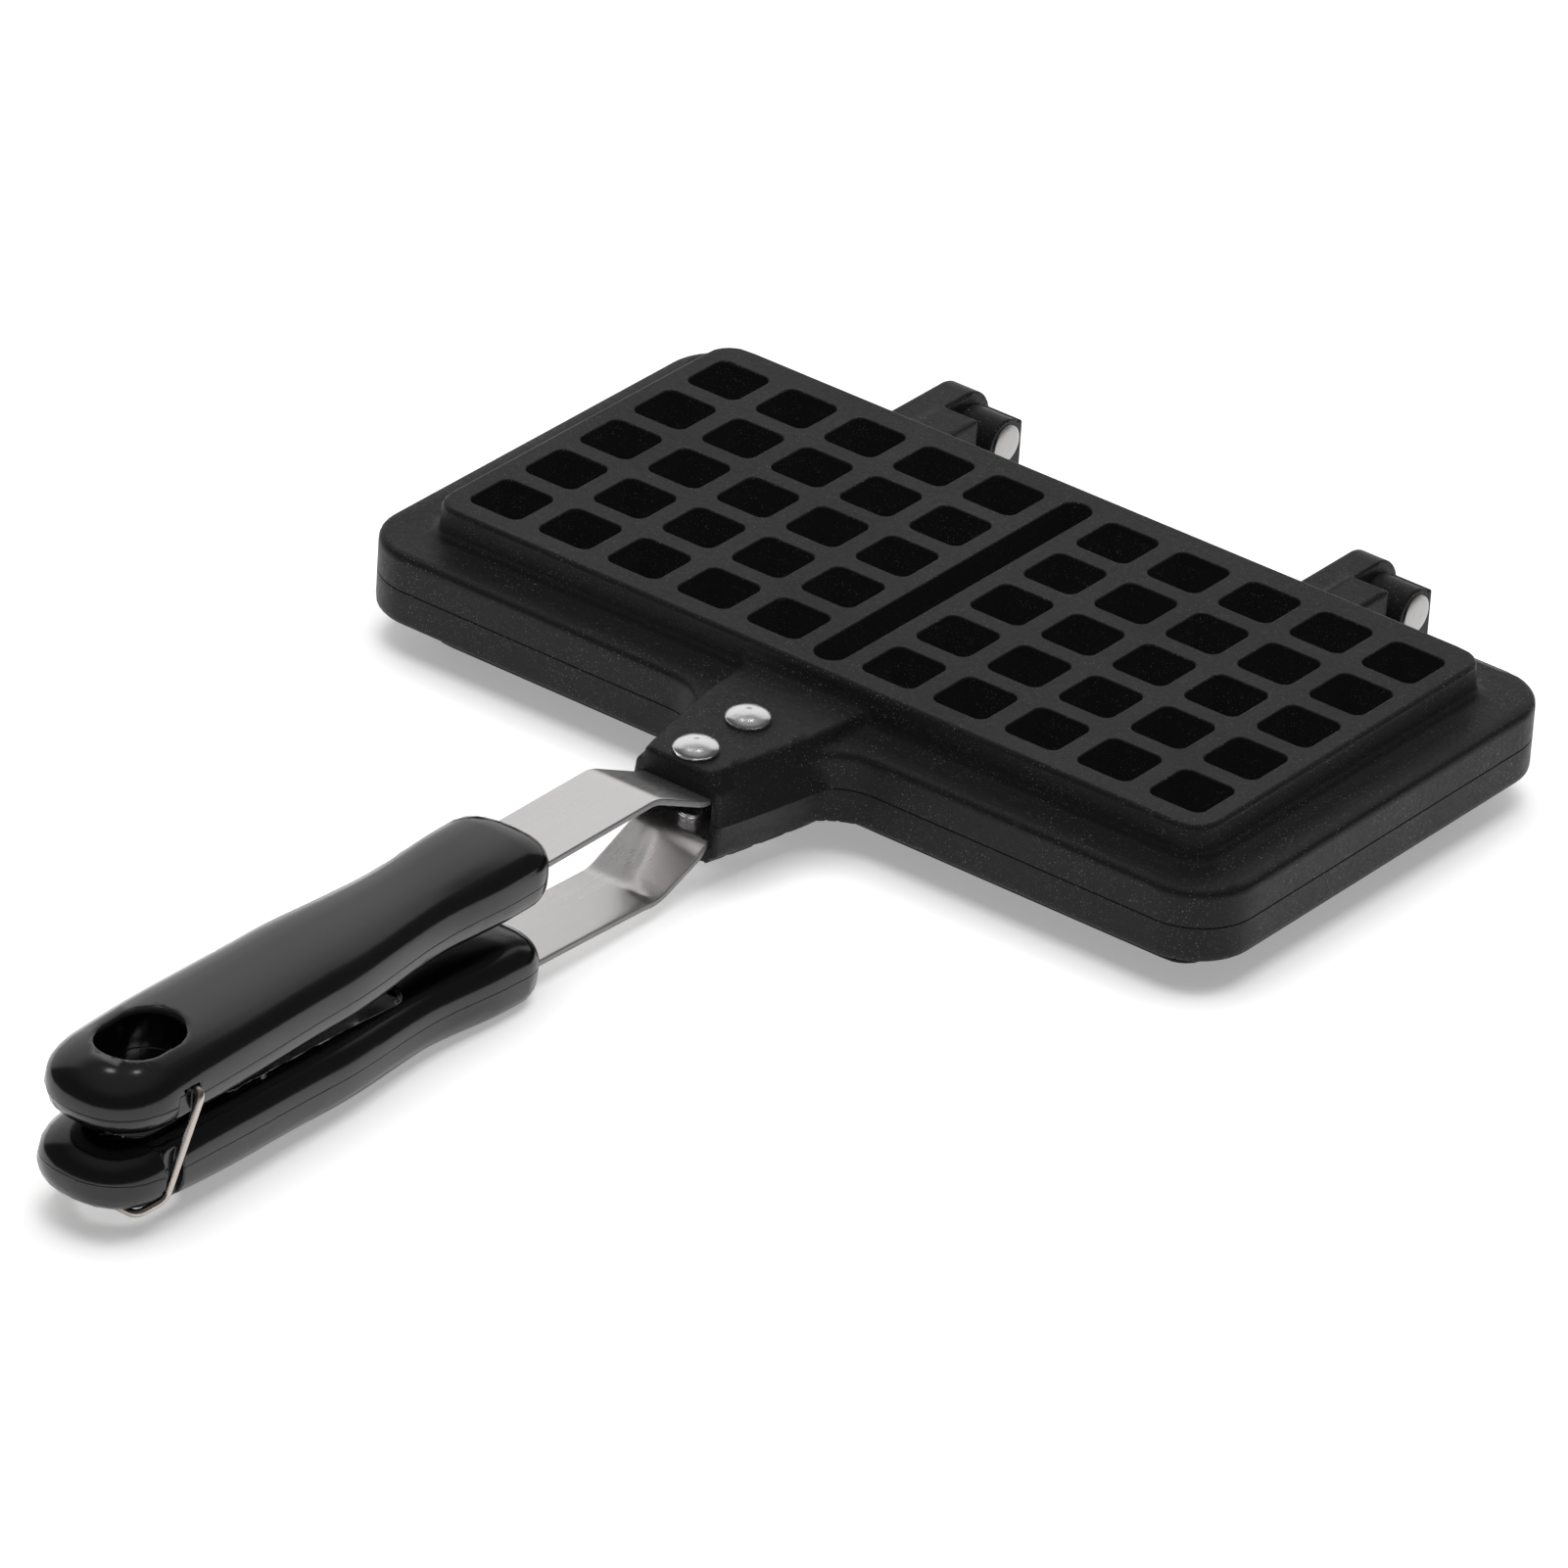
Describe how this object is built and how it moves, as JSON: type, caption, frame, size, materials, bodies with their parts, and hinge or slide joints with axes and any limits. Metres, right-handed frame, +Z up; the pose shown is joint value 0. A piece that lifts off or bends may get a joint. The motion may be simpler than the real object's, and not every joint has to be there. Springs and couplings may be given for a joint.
{
  "type": "stovetop waffle pan",
  "caption": "Two-slice hob waffle pan: two hinged cast plates with a square pocket grid, moulded grips on steel straps and a wire bail that holds the grips together.",
  "frame": {"origin": "middle of the footprint, on the surface the closed pan rests on", "axes": "X runs along the hinge, +Y points to the hinge (the grips lie along -Y), +Z is up"},
  "size_m": [0.2376, 0.394, 0.04],
  "materials": {
    "cast_plate": "matte black non-stick coating on cast aluminium",
    "strap_steel": "satin pressed steel",
    "grip_plastic": "glossy black moulded heat-resistant plastic",
    "fixings": "zinc plated",
    "rivet_metal": "bright, lightly polished",
    "bail_steel": "nickel plated wire"
  },
  "bodies": {
    "lower_half": {"lower_plate": "cast_plate", "lower_strap": "strap_steel", "lower_grip": "grip_plastic", "lower_grip_screw": "fixings", "lower_front_rivet": "rivet_metal", "lower_rear_rivet": "rivet_metal", "left_hinge_pin": "rivet_metal", "right_hinge_pin": "rivet_metal"},
    "upper_half": {"upper_plate": "cast_plate", "upper_strap": "strap_steel", "upper_grip": "grip_plastic", "upper_grip_screw": "fixings", "upper_front_rivet": "rivet_metal", "upper_rear_rivet": "rivet_metal"},
    "bail": {"bail_wire": "bail_steel"}
  },
  "joints": [
    {"name": "lid_hinge", "type": "hinge", "parent": "lower_half", "child": "upper_half", "pos_m": [0, 0.18826, 0.0172], "axis": [-1, 0, 0], "range_deg": [0, 180]},
    {"name": "bail_swing", "type": "hinge", "parent": "upper_half", "child": "bail", "pos_m": [0, -0.17364, 0.0312], "axis": [-1, 0, 0], "range_deg": [0, 150]}
  ]
}
